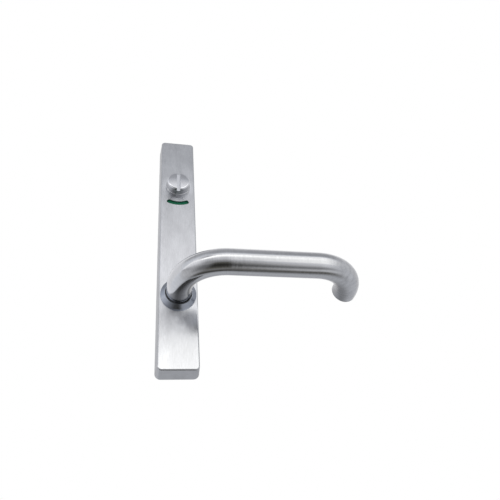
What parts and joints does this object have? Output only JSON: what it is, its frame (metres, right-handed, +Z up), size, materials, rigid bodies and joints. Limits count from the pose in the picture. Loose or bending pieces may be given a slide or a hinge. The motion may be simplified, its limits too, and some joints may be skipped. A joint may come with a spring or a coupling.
{
  "type": "privacy lever handle",
  "caption": "Narrow-plate door handle with a round return lever, and above it a coin turn with a curved green or red indicator window.",
  "frame": {"origin": "the lever's axis where it meets the door face, on the plate's back", "axes": "+Z up the plate towards the coin turn, +X along the lever, +Y into the door"},
  "size_m": [0.1533, 0.1242, 0.2296],
  "materials": {
    "satin_stainless": "satin stainless steel, grain up the plate",
    "satin_collar": "satin turned stainless steel",
    "brushed_tube": "stainless tube brushed round its girth",
    "satin_turn": "satin plated, turned",
    "zinc_plated_steel": "clear zinc plated mild steel",
    "spring_steel": "oiled spring steel",
    "black_plastic": "black moulded bearing plastic",
    "natural_plastic": "natural moulded acetal",
    "green_film": "deep green panel",
    "red_film": "red panel"
  },
  "bodies": {
    "plate": {"cover_plate": "satin_stainless", "base_plate": "zinc_plated_steel", "fixing_posts": "zinc_plated_steel", "cover_screws": "zinc_plated_steel", "neck_collar": "satin_collar", "neck_bush": "black_plastic", "thrust_washer": "natural_plastic", "spring_housing": "zinc_plated_steel", "housing_screws": "zinc_plated_steel", "return_spring": "spring_steel", "turn_collar": "satin_turn", "disc_spring": "spring_steel", "detent_spring": "spring_steel", "indicator_carrier": "natural_plastic"},
    "lever": {"lever_tube": "brushed_tube", "lever_end_plug": "brushed_tube", "lever_hub": "zinc_plated_steel", "spindle": "zinc_plated_steel", "spindle_pin": "zinc_plated_steel", "drive_cam": "zinc_plated_steel", "hub_circlip": "spring_steel", "spring_sleeve": "natural_plastic"},
    "turn": {"coin_turn": "satin_turn", "turn_tail": "zinc_plated_steel", "turn_crank": "zinc_plated_steel", "crank_pin": "zinc_plated_steel", "detent_cam": "zinc_plated_steel", "tail_clip": "spring_steel"},
    "indicator": {"indicator_slide": "natural_plastic", "green_panel": "green_film", "red_panel": "red_film"}
  },
  "joints": [
    {"name": "lever_rotation", "type": "hinge", "parent": "plate", "child": "lever", "pos_m": [0, 0, 0], "axis": [0, 1, 0], "range_deg": [-45, 45], "stiffness_Nm_per_rad": 2, "springref_deg": -2.58, "deforming": ["return_spring"]},
    {"name": "turn_rotation", "type": "hinge", "parent": "plate", "child": "turn", "pos_m": [0, 0, 0.11], "axis": [0, 1, 0], "range_deg": [0, 90], "deforming": ["detent_spring"]},
    {"name": "indicator_travel", "type": "slide", "parent": "plate", "child": "indicator", "axis": [0, 0, 1], "range_m": [0, 0.0085]}
  ],
  "couplings": [
    {"joint": "indicator_travel", "follows": "turn_rotation", "m_per_rad": 0.0054019}
  ]
}
